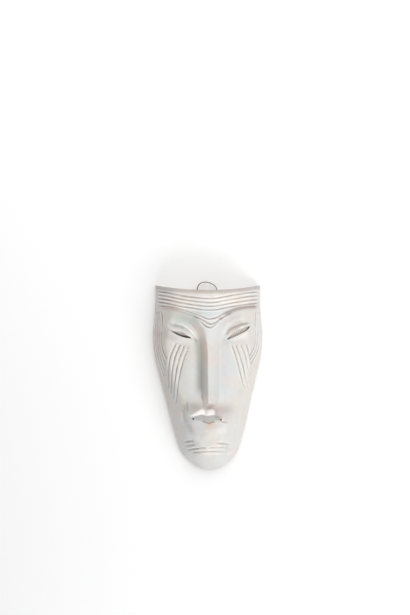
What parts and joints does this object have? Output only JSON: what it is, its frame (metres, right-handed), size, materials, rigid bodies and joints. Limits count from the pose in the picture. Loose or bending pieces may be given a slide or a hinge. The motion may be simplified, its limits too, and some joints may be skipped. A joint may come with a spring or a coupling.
{
  "type": "glazed ceramic wall mask",
  "caption": "Long narrow African-style face mask in glazed stoneware, hollow with an open back, with slit eyes, a ridged nose, incised stripes and a wire hanging loop",
  "frame": {"origin": "middle of the bounding box, on the back plane that the open rim lies on", "axes": "+Z out of the face, away from the wall or table; +Y from the chin to the forehead; +X to the right as seen when looking at the face"},
  "size_m": [0.1476, 0.2548, 0.0633],
  "materials": {
    "glazed_stoneware": "glossy off-white glaze with pinkish, bluish and greenish mottling, breaking brown-grey in the grooves and on the edges; bare rim and thin glaze inside",
    "loop_wire": "dull heat-darkened wire"
  },
  "bodies": {
    "root": {"mask_body": "glazed_stoneware", "hanging_loop": "loop_wire"}
  },
  "joints": []
}
